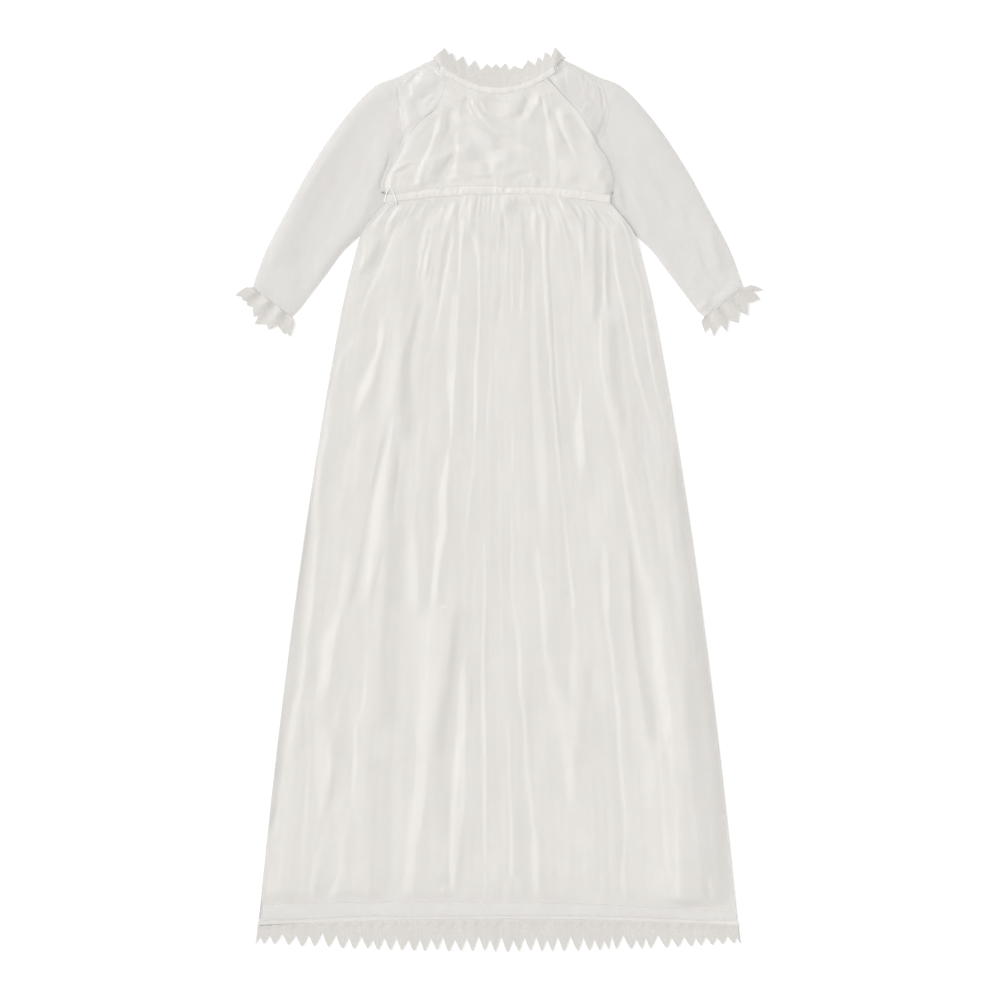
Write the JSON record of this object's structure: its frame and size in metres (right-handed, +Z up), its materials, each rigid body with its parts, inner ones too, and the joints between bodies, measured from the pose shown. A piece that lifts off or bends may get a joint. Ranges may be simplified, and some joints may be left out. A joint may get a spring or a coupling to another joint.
{
  "type": "christening gown",
  "caption": "Long baby christening gown laid flat: sheer dress with raglan sleeves over a satin slip, gathered high waist, pointed lace at neck, cuffs and hem.",
  "frame": {"origin": "middle of the underside's bounding rectangle, on the surface that the gown lies on", "axes": "+Y towards the neck, +X across towards the wearer's left sleeve as the gown lies on its back, +Z up out of the front of the gown"},
  "size_m": [0.5504, 0.95, 0.0102],
  "materials": {
    "sheer": "matt sheer organza, ivory white",
    "satin": "soft glossy satin, ivory white",
    "lace": "matt embroidered lace, ivory"
  },
  "bodies": {
    "root": {"bodice_front": "sheer", "bodice_back": "sheer", "sleeve_left": "sheer", "sleeve_right": "sheer", "skirt_front": "sheer", "skirt_back": "sheer", "neck_binding": "sheer", "waist_band": "satin", "slip_bodice_front": "satin", "slip_bodice_back": "satin", "slip_shoulder_left": "satin", "slip_shoulder_right": "satin", "slip_skirt_front": "satin", "slip_skirt_back": "satin", "neck_lace": "lace", "cuff_lace_left": "lace", "cuff_lace_right": "lace", "hem_lace": "lace"}
  },
  "joints": []
}
